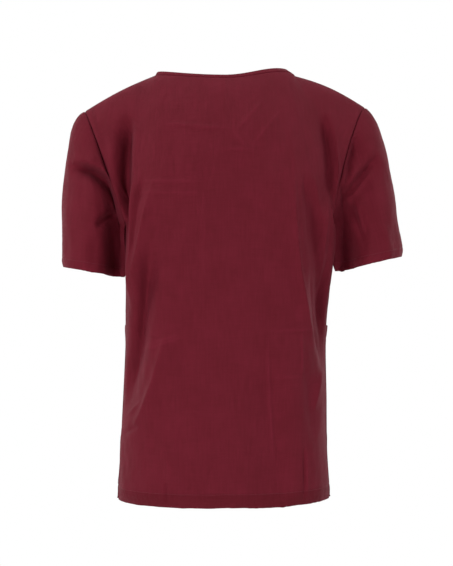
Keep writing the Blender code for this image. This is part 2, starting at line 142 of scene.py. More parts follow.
def woven_twill(name, turn=0.0):
    """Polyester and rayon twill; turn is the angle of the grain in degrees."""
    material, tree, shader = new_material(name, TWILL_SURFACE)
    shader.inputs["Sheen Tint"].default_value = linear(TWILL_SHEEN_HEX)
    grain = add_node(tree, "ShaderNodeUVMap", {"uv_map": "grain"})
    inputs = {"Vector": grain.outputs["UV"], "Rotation": (0, 0, math.radians(turn))}
    laid = add_node(tree, "ShaderNodeMapping", inputs=inputs).outputs["Vector"]
    rib = wave_over(tree, laid, (1 / (TWILL_PITCH * MM), RIB_SLOPE / (TWILL_PITCH * MM), 0))
    warp = uneven_yarns(tree, laid, YARN_WIDTH, YARN_LENGTH)
    weft = uneven_yarns(tree, laid, YARN_LENGTH, YARN_WIDTH)
    inputs = {"Factor": WEFT_SHARE, 2: warp, 3: weft}
    yarn = add_node(tree, "ShaderNodeMix", inputs=inputs).outputs["Result"]
    inputs = {"Vector": laid, "Scale": 1 / (BLOTCH_SIZE * MM), "Detail": 3.0}
    blotch = add_node(tree, "ShaderNodeTexNoise", inputs=inputs).outputs["Fac"]
    tone = compute(tree, "MULTIPLY_ADD", yarn, YARN_CONTRAST, 0.5 - YARN_CONTRAST / 2)
    tone = compute(tree, "MULTIPLY_ADD", blotch, BLOTCH_CONTRAST, tone)
    # Painted highlight on pressed ridges and painted shade on the hem band, read from each
    # piece's attribute.
    painted_light_node = add_node(tree, "ShaderNodeAttribute", {"attribute_name": "painted_light_and_shade"})
    tone = compute(tree, "ADD", painted_light_node.outputs["Fac"], tone)
    tone = compute(tree, "SUBTRACT", tone, BLOTCH_CONTRAST / 2, clamp=True)
    colour = colour_between(tree, tone, TWILL_HEX, TWILL_LIGHT_HEX)
    relief = compute(tree, "MULTIPLY_ADD", rib, RIB_HEIGHT, yarn)
    inputs = {
        "Value": yarn,
        "To Min": TWILL_ROUGHNESS - ROUGHNESS_SWAY,
        "To Max": TWILL_ROUGHNESS + ROUGHNESS_SWAY,
    }
    rough = add_node(tree, "ShaderNodeMapRange", inputs=inputs)
    tree.links.new(colour, shader.inputs["Base Color"])
    tree.links.new(rough.outputs["Result"], shader.inputs["Roughness"])
    tree.links.new(bumped(tree, TWILL_BUMP, TWILL_RELIEF, relief), shader.inputs["Normal"])
    return material


# --- Back panel -------------------------------------------------------------------------
# One piece of twill from the hem to the shoulders, with no yoke or centre seam. Its hem is
# turned up 22 mm and lockstitched; below the side seams it ends in a short open vent.

CLOTH = 0.6  # wall of one layer of cloth
UNDERARM = -245.0
CHEST = -130.0
HEM = -690.0
HEM_DEPTH = 22.0
HEM_LEAN = 0.008  # how much lower the wearer's left hangs for each millimetre across
HEM_SIDE_RISE = 4.0
HEM_LEAN_TOP = -560.0
VENT_TOP = -622.0
VENT_OPEN = 5.0
VENT_FLARE = 3.0
VENT_REACH = 13.0  # how far in from its side a vent's flap stands off
VENT_STITCH = 7.0
BAR_POINTS = 9  # of the bar of stitches across a vent's top, between these columns
BAR_FROM = 0.5
BAR_TO = 6.0
BODY_MIDDLE = np.array([0.0, 0.0, -260.0])

PER_COLUMN = 8  # fine columns for each column of about 13 mm
HEM_ROWS = 9
BODY_ROWS = 150
CHEST_ROWS = 42
TOP_ROWS = 39
TOP_ROWS_HELD = 9
EVENING_ROUNDS = 400
EVENED_COLUMNS = 26  # how far from the neck's corners the cloth is evened out
EVENED_TOP_FADE = 24  # rows over which that ends at the top, and at the underarm
EVENED_LOW_FADE = 18
SHOULDER_COLUMNS = 8
BACK_NECK_COLUMNS = 10
SIDE_CROWDING = 0.35

Section = namedtuple("Section", "height left right back front squareness")
SECTIONS = (
    Section(-690, 174, 170, 121, 120, 2.5),
    Section(-610, 169, 165, 117, 119, 2.5),
    Section(-520, 164.5, 164, 114, 120, 2.5),
    Section(-430, 160.5, 163, 112, 119, 2.8),
    Section(-360, 160, 168.5, 112, 119, 3.2),
    Section(-300, 160, 175.5, 111, 118, 3.6),
    Section(-245, 160.5, 177.5, 110, 117, 3.6),
)

# Each shoulder: neck point, tip, how far its seam bows up, how hollow its armhole is, the
# neck band's free edge on it, and how late and how arched the back neckline sinks from it
Side = namedtuple(
    "Side", "sign neck_x neck_z tip_x tip_z bow hollow band_x band_z neck_sweep neck_arch"
)
LEFT = Side(1, 114, -0.5, 228, -59, 4, 12, 110, 5, 2.3, 0)
RIGHT = Side(-1, 113, -1, 228, -53, 6.5, 48, 101, 8, 5, 5.5)
BAND_ARCH = 0.27  # how much of the neckline's arch its band's free edge follows
SHOULDER_Y = -3.0
BACK_NECK_Y = 52.0
BACK_NECK_Z = -9.5
BACK_ARMHOLE_SCOOP = 165.0

TURNS_TO_ARMHOLE = 0.72
LEAVE_SHARE = 1.1
ARRIVE_SHARE = 0.8
SHOULDER_RISE = 0.12
NECK_RISE = 0.9
NECK_ROLL = {1: 0.75, -1: 0.35}  # behind and in front
NECK_SPREAD = 0.6

SEAM_GAP = 0.2  # half the slit that shows at a seam
SEAM_DIP = 1.1  # how deep the cloth is drawn in at a seam
SEAM_WIDTH = 1.3
SEAM_LIP = 4.0  # seam allowance, turned inside and passing below the neighbouring piece
SEAM_BELOW = 2.4
SEAM_STEPS = (0.5, 1.2, 2.4)  # where the cloth gets finer rows beside a seam
SEAM_STEP_SHARE = 0.3  # the most that each of them may take of the last row
ALLOWANCE_ROWS = 2
LAYER = 0.2  # how far turned layers are set off from each other
HEM_GAP = 1.3  # from the outer face of the cloth to that of the layer turned up inside
HEM_CURL = 3.2  # how far the hem's edge has turned in under the body
HEM_TUCK = 4.0  # how far the back's and front's last stretch leans in besides, amid its sides
HEM_TUCK_REACH = 48.0
HEM_AMID = (8.0, 70.0)  # how far from its sides that lean begins and is full
HEM_SIDE_LOSS = 0.6  # share of the curl that a hem lacks at its sides
HEM_LIFT = 0.3  # how far a doubled hem stands out
HEM_INSIDE = (9, 6, 3, 1)  # the hem's rows that its inner layer follows
STITCH_DIP = 0.3  # how deep a line of stitches draws the cloth in
STITCH_DIP_WIDTH = 1.6
HEM_PAINTED_SHADE = 0.34  # painted shade: how much darker the hem band is painted, as it tips under away from the light above
HEM_PAINTED_SHADE_EDGE = (-1.5, 1.0)  # where that ends, beside the line of stitches
RIDGE_PAINTED_HIGHLIGHT = 0.38  # painted highlight: how much paler the cloth is painted along a pressed ridge, for the light it catches
RIDGE_PAINTED_HIGHLIGHT_WIDTH = 1.8
FULL_RIDGE_PAINTED_HIGHLIGHT = 1.5  # height of the lowest ridge that has all of that painted highlight
PUCKER = 0.16  # the hem's small slanting ripples between its stitches
PUCKER_SPACING = 9.0
PUCKER_SLANT = 0.5
PUCKER_WANDER = 1.5
PUCKER_WANDER_LENGTH = 37.0
SHARP_ANGLE = 60.0
# Swells, upright ripples and small dents in hanging cloth, each with its shortest and longest
# wave, its height, and a last number below 1 where it is drawn out up the cloth
UNEVEN = ((60, 200, 1.2, 1), (14, 45, 0.4, 0.45), (7, 18, 0.09, 1))

# Folds as curves seen square to the panel, from start past bend to end. A trough has a
# positive depth and a ridge a negative one. It fades over `left` millimetres towards the
# wearer's left, or below a slanting fold, and over `right` on its other side; a crisp one
# is pressed sharp along its line. An imprint has the widths and the crispness given here.
Fold = namedtuple("Fold", "start bend end depth left right crisp", defaults=(2.8, 2.8, 0.2))
FOLD_ENDS = 0.3  # share of its length over which a fold fades at each end
FOLD_FACING = 0.35  # how squarely the cloth has to face back or front to take all of it
BACK_FOLDS = (
    Fold((152, -62), (166, -150), (161, -280), 30, 12, 9, 0.1),
    Fold((148, -80), (145, -150), (150, -250), -5, 4, 12, 0.7),
    Fold((143, -165), (149, -265), (150, -390), -14, 4, 24, 0.5),
    Fold((112, -165), (134, -265), (146, -345), -6, 4, 14, 0.8),
    Fold((128, -160), (143, -240), (148, -320), 10, 6, 7, 0.2),
    Fold((114, -262), (137, -400), (160, -560), 22, 9, 15, 0.1),
    Fold((90, -390), (110, -510), (157, -590), -8, 6, 18, 0.6),
    Fold((132, -524), (145, -536), (158, -550), -2.5, 3, 4, 0.6),
    Fold((136, -562), (150, -572), (164, -582), 4, 5, 4, 0.4),
    Fold((-154, -58), (-175, -130), (-172, -240), 17, 12, 7, 0.0),
    Fold((-178, -108), (-184, -180), (-178, -260), -7, 10, 4, 0.7),
    Fold((-170, -165), (-169, -250), (-160, -370), -5, 12, 4, 0.5),
    Fold((-214, -92), (-193, -146), (-184, -200), 16, 5, 7, 0.1),
    Fold((-110, -120), (-103, -330), (-163, -482), -6.5, 7, 3.5, 0.9),
    Fold((-122, -150), (-129, -230), (-138, -300), 5, 5, 9, 0.2),
    Fold((-138, -160), (-156, -310), (-170, -470), 27, 18, 22, 0.1),
    Fold((-136, -300), (-141, -390), (-160, -490), 9, 5, 7, 0.4),
    Fold((-136, -158), (-148, -200), (-166, -252), -5, 9, 6, 0.4),
    Fold((-126, -470), (-143, -515), (-136, -610), 5, 13, 12, 0.0),
    Fold((-160, -462), (-151, -505), (-142, -548), -4, 5, 5, 0.4),
    Fold((-66, -430), (-80, -570), (-84, -720), 9, 34, 20, 0.0),
)

# Faint ridges where the doubled edges of the front were pressed through while it lay
# folded: the neck band, the chest pocket and the lower pockets. Then two creases in the hem
# Along each ridge here the cloth's colour also carries a painted highlight.
BACK_IMPRINTS = (
    Fold((-66, -40), (-40, -72), (-12, -104), -1.8),
    Fold((-94, -55), (-66, -91), (-38, -127), -1.5),
    Fold((8, -124), (-21, -127), (-52, -129), -1.5),
    Fold((-14, -99), (-25, -113), (-36, -126), -1.3),
    Fold((104, -84), (50, -91), (-12, -94), -2.0),
    Fold((142, -177), (85, -178), (28, -178), -1.3),
    Fold((142, -195), (85, -196), (28, -197), -1.1),
    Fold((33, -170), (34, -260), (34, -350), -1.3),
    Fold((-66, -405), (-69, -520), (-79, -640), -1.5, 2.8, 3.4, 0.2),
    Fold((-60, -413), (-108, -412), (-156, -410), -1.3),
    Fold((-122, -405), (-122, -450), (-122, -494), -1.3),
    Fold((-60, -486), (-94, -486), (-128, -486), -1.3),
    Fold((134, -444), (97, -433), (58, -420), -1.5),
    Fold((134, -438), (97, -427), (58, -414), -1.3),
    Fold((-124, -590), (-125, -640), (-126, -687), 2.4, 1.6, 2.2, 0.4),
    Fold((-129, -590), (-130, -640), (-131, -684), -1.2, 2.2, 3.0, 0.2),
    Fold((93, -646), (93, -667), (93, -687), 2.2, 1.6, 1.8, 0.4),
)


def smoothstep(value, low, high):
    """0 up to low, 1 from high on and a smooth rise between them."""
    t = np.clip((value - low) / (high - low), 0, 1)
    return t * t * (3 - 2 * t)


def unit(vectors):
    """The vectors at length 1."""
    return vectors / np.maximum(np.linalg.norm(vectors, axis=-1, keepdims=True), 1e-9)


def hermite(start, leave, end, arrive, t):
    """The point at t of a curve that leaves start and arrives at end with these tangents."""
    return (
        (2 * t**3 - 3 * t**2 + 1) * start
        + (t**3 - 2 * t**2 + t) * leave
        + (3 * t**2 - 2 * t**3) * end
        + (t**3 - t**2) * arrive
    )


def read_off(column, heights):
    """One column of the body's table at these heights, as a smooth curve."""
    known = np.array([row.height for row in SECTIONS], float)
    values = np.array([getattr(row, column) for row in SECTIONS], float)
    slopes = np.gradient(values, known)
    i = np.clip(np.searchsorted(known, heights) - 1, 0, len(known) - 2)
    span = known[i + 1] - known[i]
    t = (heights - known[i]) / span
    return hermite(values[i], slopes[i] * span, values[i + 1], slopes[i + 1] * span, t)


def body_column(turn, heights):
    """Points up the body's side: turn 0 is the centre back, 90 the wearer's left."""
    across, along = math.sin(math.radians(turn)), math.cos(math.radians(turn))
    width = read_off("left" if across > 0 else "right", heights)
    depth = read_off("back" if along > 0 else "front", heights)
    power = 2 / read_off("squareness", heights)
    x = math.copysign(1, across) * width * abs(across) ** power
    y = math.copysign(1, along) * depth * abs(along) ** power
    lift = HEM_SIDE_RISE * across**2 - HEM_LEAN * x
    z = heights + lift * (1 - smoothstep(heights, HEM, HEM_LEAN_TOP))
    return np.stack([x, y, z], axis=-1)


def shoulder_point(side, share):
    """The shoulder seam, from the tip of the shoulder, share 0, to the neck, share 1."""
    x = side.tip_x + (side.neck_x - side.tip_x) * share
    z = side.tip_z + (side.neck_z - side.tip_z) * share
    bow = side.bow * math.sin(math.pi * share)
    return np.array([side.sign * x, SHOULDER_Y, z + bow])


def round_neck(side, share, at_side, at_centre, arch):
    """A line round the back of the neck, from the shoulder, share 0, to the centre, share 1.
    At the side its place across and its height are given, at the centre its depth and height."""
    angle = share * math.pi / 2
    x = side.sign * at_side[0] * math.cos(angle)
    y = SHOULDER_Y + (at_centre[0] - SHOULDER_Y) * math.sin(angle)
    sunk = math.sin(angle) ** side.neck_sweep
    arched = arch * math.sin(2 * angle) * math.cos(angle)
    z = at_side[1] + (at_centre[1] - at_side[1]) * sunk + arched
    return np.array([x, y, z])


def back_neck_point(side, share):
    """The back neckline."""
    at_side, at_centre = (side.neck_x, side.neck_z), (BACK_NECK_Y, BACK_NECK_Z)
    return round_neck(side, share, at_side, at_centre, side.neck_arch)


def body_heights():
    """Rows of cloth below the underarm, closer together in the hem."""
    hem = np.linspace(HEM, HEM + HEM_DEPTH, HEM_ROWS + 1)
    return np.concatenate([hem, np.linspace(hem[-1], UNDERARM, BODY_ROWS + 1)[1:]])


def rising_part(start, leave, top, arrive):
    """A column above the underarm: level with its neighbours up to the chest."""
    t = np.linspace(0, 1, 401)[:, None]
    every = hermite(start, leave, top, arrive, t)
    levels = np.linspace(UNDERARM, CHEST, CHEST_ROWS + 1)[1:]
    level_t = np.interp(levels, every[:, 2], t[:, 0])
    upper_t = np.linspace(level_t[-1], 1, TOP_ROWS + 1)[1:]
    return hermite(start, leave, top, arrive, np.concatenate([level_t, upper_t])[:, None])


def even_out(grid):
    """Smooths the cloth that runs down from where a shoulder seam meets the neckline."""
    count = len(grid)
    from_side = np.minimum(np.arange(count), np.arange(count)[::-1])
    away = (from_side - SHOULDER_COLUMNS * PER_COLUMN) / EVENED_COLUMNS
    near = np.exp(-(away**2))[1:-1, None]
    first = HEM_ROWS + BODY_ROWS
    rows = np.arange(grid.shape[1] - first)
    down = smoothstep(rows[-1] - rows, 0, EVENED_TOP_FADE) * smoothstep(rows, 0, EVENED_LOW_FADE)
    inside = (0.5 * near * down)[..., None]
    for _ in range(EVENING_ROUNDS):
        part = grid[:, first:]
        part[1:-1] += inside * ((part[:-2] + part[2:]) / 2 - part[1:-1])
    return grid


def lay_panel(facing, neck_columns, scoop, neck_point):
    """The plain outer face of the back, facing 1, or of the front, facing -1."""
    half = SHOULDER_COLUMNS + neck_columns
    grid = []
    for index in np.linspace(0, 2 * half, 2 * half * PER_COLUMN + 1):
        side = LEFT if index <= half else RIGHT
        from_side = min(index, 2 * half - index)
        even = 1 - from_side / half
        place = even + SIDE_CROWDING * (math.sin(math.pi / 2 * even) - even)
        turn = 90 * place if facing > 0 else 180 - 90 * place
        column = body_column(side.sign * turn, body_heights())
        start = column[-1]
        on_shoulder = from_side <= SHOULDER_COLUMNS
        if on_shoulder:
            top = shoulder_point(side, from_side / SHOULDER_COLUMNS)
            at_neck = 0.0
        else:
            share = (from_side - SHOULDER_COLUMNS) / neck_columns
            top = neck_point(side, share)
            at_neck = smoothstep(share, 0, NECK_SPREAD)
        at_side = smoothstep(place, TURNS_TO_ARMHOLE, 1.0)
        upward = (1 - at_side) * np.linalg.norm(top - start)
        hollow = side.sign * side.hollow * at_side
        leave = np.array([-hollow, at_side * facing * scoop, upward * LEAVE_SHARE])
        over_shoulder = np.array([0, -facing, SHOULDER_RISE * (1 - at_side)])
        up_to_neck = np.array([0, -facing * NECK_ROLL[facing], NECK_RISE])
        rolled = over_shoulder + at_neck * (up_to_neck - over_shoulder)
        arrive = rolled * (at_side * scoop + upward * ARRIVE_SHARE)
        arrive[0] += hollow
        grid.append(np.concatenate([column, rising_part(start, leave, top, arrive)]))
    return even_out(np.array(grid))


def outward(grid, turned):
    """Directions square to the cloth."""
    columns, rows = np.gradient(grid, axis=0), np.gradient(grid, axis=1)
    return turned * unit(np.cross(columns, rows))


def fold_depth(grid, fold, samples=61):
    """How deep one fold is at each point of the cloth, seen square to back or front."""
    t = np.linspace(0, 1, samples)[:, None]
    start, bend, end = (np.array(p, float) for p in (fold.start, fold.bend, fold.end))
    line = (1 - t) ** 2 * start + 2 * t * (1 - t) * bend + t**2 * end
    ahead = unit(np.gradient(line, axis=0))
    seen = grid[:, :, [0, 2]]
    distance = np.full(seen.shape[:2], np.inf)
    nearest = np.zeros(seen.shape[:2], int)
    for i, point in enumerate(line):
        here = np.hypot(seen[..., 0] - point[0], seen[..., 1] - point[1])
        closer = here < distance
        distance[closer] = here[closer]
        nearest[closer] = i
    away = seen - line[nearest]
    past = np.sum(away * ahead[nearest], axis=-1)
    aside = away[..., 0] * ahead[nearest][..., 1] - away[..., 1] * ahead[nearest][..., 0]
    length = np.linalg.norm(np.diff(line, axis=0), axis=1).sum()
    along = np.clip(nearest / (samples - 1) + past / length, 0, 1)
    aside = aside * np.where(ahead[nearest][..., 1] < 0, -1, 1)
    width = np.where(aside > 0, fold.left, fold.right)
    ends = smoothstep(along, 0, FOLD_ENDS) * smoothstep(1 - along, 0, FOLD_ENDS)
    beyond = np.where((nearest == 0) | (nearest == samples - 1), distance, np.abs(aside))
    return fold.depth * np.exp(-((beyond / width) ** (2 - fold.crisp))) * ends


def folded(grid, normals, folds, facing, held):
    """The grid with its folds pressed in where it faces that way and isn't held."""
    seen = smoothstep(normals[..., 1] * facing, 0.0, FOLD_FACING)
    depth = sum(fold_depth(grid, fold) for fold in folds) * seen * held
    return grid - depth[..., None] * unit(normals + [0, facing, 0])


def panel_held(grid):
    """0 along a panel's seams and 1 inside it."""
    columns, rows = (np.arange(n) for n in grid.shape[:2])
    from_side = np.minimum(columns, columns[-1] - columns)
    at_side = smoothstep(from_side, 0, PER_COLUMN)
    at_top = smoothstep(rows[-1] - rows, 0, TOP_ROWS_HELD)
    return at_side[:, None] * at_top


def grain_of(grid):
    """How far each point lies across and along the cloth from its middle, measured on it."""
    across = np.zeros(grid.shape[:2])
    across[1:] = np.cumsum(np.linalg.norm(np.diff(grid, axis=0), axis=-1), axis=0)
    across -= across[len(across) // 2]
    along = np.zeros(grid.shape[:2])
    along[:, 1:] = np.cumsum(np.linalg.norm(np.diff(grid, axis=1), axis=-1), axis=1)
    return np.stack([across, along], axis=-1)


def unevenness(grain, seed, shortest, longest, height, waves=24):
    """A soft random relief of many crossing waves between two lengths."""
    random = np.random.default_rng(seed)
    total = np.zeros(grain.shape[:2])
    for _ in range(waves):
        angle = random.uniform(0, math.pi)
        length = shortest * (longest / shortest) ** random.uniform()
        phase = random.uniform(0, 2 * math.pi)
        path = grain[..., 0] * math.cos(angle) + grain[..., 1] * math.sin(angle)
        total += np.sin(2 * math.pi * path / length + phase) * length / longest
    return height * total / math.sqrt(waves / 2)


def lived_in(grid, normals, seed, held):
    """The grid with the soft swells, ripples and small dents that hanging cloth always has."""
    grain = grain_of(grid)
    relief = 0
    for number, (shortest, longest, height, upright) in enumerate(UNEVEN):
        counted = grain * [1, upright]
        relief = relief + unevenness(counted, seed + number, shortest, longest, height)
    return grid + normals * (relief * held)[..., None]


def turned_under(grid, normals, rows):
    """Rows that take a hem up inside, the topmost first, and round its folded edge, row 0."""
    inside = grid[:, list(rows)] - normals[:, list(rows)] * HEM_GAP
    edge = grid[:, 0] - normals[:, 0] * HEM_GAP / 2
    edge[:, 2] -= HEM_GAP / 2
    return np.concatenate([inside, edge[:, None]], axis=1)


def from_first(grid):
    """How far each point lies from the grid's first row, measured on the cloth."""
    steps = np.linalg.norm(np.diff(grid, axis=1), axis=-1)
    return np.concatenate([np.zeros((len(grid), 1)), np.cumsum(steps, axis=1)], axis=1)


def hem_relief(grid, depth):
    """How far out a doubled hem stands: in at its stitches, rippled, and curled at its edge."""
    up = from_first(grid)
    along = grain_of(grid)[..., 0] + up * PUCKER_SLANT
    share = np.clip(1 - up / depth, 0, 1)
    wander = PUCKER_WANDER * np.sin(along / PUCKER_WANDER_LENGTH)
    ripple = np.sin(2 * math.pi * along / PUCKER_SPACING + wander)
    out = PUCKER * ripple * np.sin(math.pi * np.clip(up / depth, 0, 1))
    out = out + HEM_LIFT * smoothstep(share, 0, 0.15) - HEM_CURL * share**2
    return out - STITCH_DIP * np.exp(-(((up - depth) / STITCH_DIP_WIDTH) ** 2))


def grid_faces(corner):
    """The quads between numbered corners that lie in a grid."""
    around = [corner[:-1, :-1], corner[1:, :-1], corner[1:, 1:], corner[:-1, 1:]]
    return np.stack(around, axis=-1).reshape(-1, 4)


def add_object(name, data):
    """A new object in the scene."""
    added = bpy.data.objects.new(name, data)
    bpy.context.scene.collection.objects.link(added)
    return added


def add_piece(name, points, faces, grain, material):
    """A piece of the part with a smooth mesh, and its grain as a UV map."""
    mesh = bpy.data.meshes.new(name)
    mesh.from_pydata((points * MM).tolist(), [], faces)
    corners = np.concatenate([np.array(face) for face in faces])
    layer = mesh.uv_layers.new(name="grain")
    layer.uv.foreach_set("vector", (grain * MM)[corners].astype(np.float32).ravel())
    mesh.shade_smooth()
    mesh.materials.append(material)
    piece = add_object(name, mesh)
    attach(piece, "root")
    return piece


def cloth_piece(name, outer, turned, material, thickness=CLOTH, step=1, painted_light_and_shade=None):
    """A closed wall of cloth below a grid of outer points. Its inner face has only every row
    and column that step picks, and the last ones. The last argument gives the painted light and
    shade of the outer face: above 0 a painted highlight, paler, and below 0 a painted shade,
    darker."""
    kept = [np.unique(np.append(np.arange(0, n, step), n - 1)) for n in outer.shape[:2]]
    inner = (outer - outward(outer, turned) * thickness)[np.ix_(*kept)]
    face = np.arange(outer[..., 0].size).reshape(outer.shape[:2])
    back = np.arange(inner[..., 0].size).reshape(inner.shape[:2]) + face.size
    faces = grid_faces(face).tolist() + grid_faces(back)[:, ::-1].tolist()
    edges = (
        (face[:, 0], back[:, 0], kept[0], 1),
        (face[-1], back[-1], kept[1], 1),
        (face[:, -1], back[:, -1], kept[0], -1),
        (face[0], back[0], kept[1], -1),
    )
    for edge, under, steps, way in edges:
        for k, (first, last) in enumerate(zip(steps[:-1], steps[1:])):
            rim = [*edge[first : last + 1][::-1].tolist(), int(under[k]), int(under[k + 1])]
            faces.append(rim[::way])
    faces = [corners[::turned] for corners in faces]
    points = np.concatenate([outer.reshape(-1, 3), inner.reshape(-1, 3)])
    grain = grain_of(outer)
    grain = np.concatenate([grain.reshape(-1, 2), grain[np.ix_(*kept)].reshape(-1, 2)])
    piece = add_piece(name, points, faces, grain, material)
    piece.data.set_sharp_from_angle(angle=math.radians(SHARP_ANGLE))
    # Painted light and shade on the outer face: paler along pressed ridges, darker on the hem
    # band.
    if painted_light_and_shade is not None:
        shares = np.append(painted_light_and_shade.ravel(), np.zeros(inner[..., 0].size))
        layer = piece.data.attributes.new("painted_light_and_shade", "FLOAT", "POINT")
        layer.data.foreach_set("value", shares)
    return piece


def finer_edge(grid):
    """The grid with a few more rows close to its last one, so that a seam can be crisp."""
    back = grid[:, -2] - grid[:, -1]
    length = np.linalg.norm(back, axis=-1, keepdims=True)
    extra = [
        grid[:, -1] + back * np.minimum(step / length, SEAM_STEP_SHARE * (i + 1))
        for i, step in enumerate(SEAM_STEPS)
    ]
    return np.concatenate([grid[:, :-1], np.stack(extra[::-1], axis=1), grid[:, -1:]], axis=1)


def seam_depth(grid):
    """How far the cloth is drawn in at each point near the grid's last row."""
    return SEAM_DIP * np.exp(-((from_first(grid[:, ::-1])[:, ::-1] / SEAM_WIDTH) ** 2))


def allowance(grid, normals, beyond):
    """Two rows of seam allowance: down from the last row and on below the next piece."""
    down = grid[:, -1] - normals[:, -1] * SEAM_BELOW
    return np.stack([down, down + beyond * SEAM_LIP - normals[:, -1] * LAYER], axis=1)


def crosswise(grid):
    """The grid with its rows as columns."""
    return np.swapaxes(grid, 0, 1)


def finer_sides(grid):
    """The grid with finer columns along both of its sides."""
    grid = crosswise(finer_edge(crosswise(grid)))
    return crosswise(finer_edge(crosswise(grid[::-1])))[::-1]


def finish_panel(grid, facing):
    """The panel with its vents opened, its seams drawn in and its hem curled."""
    grid = finer_sides(finer_edge(grid))
    normals = outward(grid, facing)
    columns = len(grid)
    from_left = from_first(crosswise(grid)).T
    from_side = np.minimum(from_left, from_left[-1] - from_left)
    near_side = np.clip(1 - from_side / VENT_REACH, 0, 1)
    below = np.clip((VENT_TOP - grid[0, :, 2]) / (VENT_TOP - HEM), 0, 1)
    into = np.gradient(grid, axis=0)
    into[columns // 2 :] *= -1
    open_by = near_side * below * VENT_OPEN / 2
    flare = near_side * below * VENT_FLARE * (-facing) / 2
    dip = seam_depth(grid)
    at_sides = seam_depth(crosswise(grid)).T + seam_depth(crosswise(grid[::-1])).T[::-1]
    dip = np.maximum(dip, at_sides * (1 - smoothstep(below, 0, 0.1)))
    up = from_first(grid)
    amid = smoothstep(from_side, *HEM_AMID)
    tuck = HEM_TUCK * np.clip(1 - up / HEM_TUCK_REACH, 0, 1) ** 2 * amid
    curl = HEM_SIDE_LOSS * HEM_CURL * np.clip(1 - up / HEM_DEPTH, 0, 1) ** 2
    tuck = tuck - curl * (1 - amid)
    moved = flare - dip - tuck + hem_relief(grid, HEM_DEPTH)
    grid = grid + unit(into) * open_by[..., None] + normals * moved[..., None]
    grid[[0, -1]] += (unit(into) * SEAM_GAP)[[0, -1]]
    grid[:, -1] -= unit(grid[:, -1] - grid[:, -2]) * SEAM_GAP
    return grid


def with_allowances(grid, facing):
    """The finished panel with its hem turned up inside and its seam allowances."""
    normals = outward(grid, facing)
    grid = np.concatenate([turned_under(grid, normals, HEM_INSIDE), grid], axis=1)
    normals = outward(grid, facing)
    beyond = unit(grid[:, -1] - grid[:, -2])
    grid = np.concatenate([grid, allowance(grid, normals, beyond)], axis=1)
    sides = []
    for edge, inner in ((0, 1), (-1, -2)):
        ahead = unit(grid[edge] - grid[inner])
        square = unit(np.cross(ahead, np.gradient(grid[edge], axis=0)))
        square *= np.sign(np.sum(square * (grid[edge] - BODY_MIDDLE), axis=-1))[:, None]
        open_vent = smoothstep(VENT_TOP - grid[edge, :, 2], -2, 4)[:, None]
        down = grid[edge] - square * (SEAM_BELOW + (HEM_GAP - SEAM_BELOW) * open_vent)
        lip = SEAM_LIP * (1 - open_vent) if facing > 0 else LAYER
        sides.append(np.stack([down, down + ahead * lip - square * LAYER / 2]))
    return np.concatenate([sides[0][::-1], grid, sides[1]], axis=0)


def panel_painted_light(face, imprints):
    """The painted highlight along the panel's pressed ridges, and the painted shade on its hem
    band.
    """
    ridges = [
        fold._replace(left=RIDGE_PAINTED_HIGHLIGHT_WIDTH, right=RIDGE_PAINTED_HIGHLIGHT_WIDTH) for fold in imprints if fold.depth < 0
    ]
    tone = sum(fold_depth(face, fold) / min(fold.depth, -FULL_RIDGE_PAINTED_HIGHLIGHT) for fold in ridges) * RIDGE_PAINTED_HIGHLIGHT
    start, end = (HEM_DEPTH + place for place in HEM_PAINTED_SHADE_EDGE)
    tone = tone - HEM_PAINTED_SHADE * (1 - smoothstep(from_first(face), start, end))
    added = ((ALLOWANCE_ROWS, ALLOWANCE_ROWS), (len(HEM_INSIDE) + 1, ALLOWANCE_ROWS))
    return np.pad(tone, added, mode="edge")


def on_cloth(grid, columns, rows):
    """Points of a grid at fractions of its columns and rows."""
    i = np.clip(np.floor(columns).astype(int), 0, grid.shape[0] - 2)
    j = np.clip(np.floor(rows).astype(int), 0, grid.shape[1] - 2)
    u, v = (columns - i)[..., None], (rows - j)[..., None]
    low = grid[i, j] * (1 - u) + grid[i + 1, j] * u
    high = grid[i, j + 1] * (1 - u) + grid[i + 1, j + 1] * u
    return low * (1 - v) + high * v


def line_on(grid, normals, distance):
    """Points this far from a grid's first row, and the directions out of the cloth there."""
    away = from_first(grid)
    rows = np.array([np.interp(distance, each, np.arange(len(each))) for each in away])
    columns = np.arange(len(grid), dtype=float)
    return on_cloth(grid, columns, rows), unit(on_cloth(normals, columns, rows))


def part_of(line, wanted):
    """The points of a line, with their directions, where this is true."""
    return line[0][wanted], line[1][wanted]


def panel_stitches(face, facing):
    """The hem's and the vents' lines of stitches, with a bar across the top of each vent."""
    normals = outward(face, facing)
    hem = line_on(face, normals, HEM_DEPTH)
    lines = [part_of(hem, slice(2, -2))]
    for grid, out in ((face, normals), (face[::-1], normals[::-1])):
        side = line_on(crosswise(grid), crosswise(out), VENT_STITCH)
        lines.append(part_of(side, slice(1, np.argmax(side[0][:, 2] > VENT_TOP))))
        top = np.argmax(grid[0, :, 2] > VENT_TOP)
        for row in (top, top + 1):
            columns = np.linspace(BAR_FROM, BAR_TO, BAR_POINTS)
            bar = on_cloth(grid, columns, np.full(BAR_POINTS, float(row)))
            lines.append((bar, out[:BAR_POINTS, row]))
    return lines


STITCH_PITCH = 3.2
STITCH_LENGTH = 2.6
STITCH_START = 0.3
# Each stitch's stations: the share of its length, its height and its radius there
STITCH_SHAPE = ((0, -0.25, 0.12), (0.22, 0.14, 0.24), (0.78, 0.14, 0.24), (1, -0.25, 0.12))
THREAD_WIDTH = 0.48
THREAD_CORNERS = 4
# Colour of the thread's crests: partly its own, partly a painted highlight
THREAD_HEX = "8a2c40"
THREAD_SURFACE = {"Roughness": 0.5, "IOR": 1.55}
THREAD_BUMP = 0.6
THREAD_RELIEF = 0.1
PLY_PITCH = 0.8
PLY_SLANT = 0.7


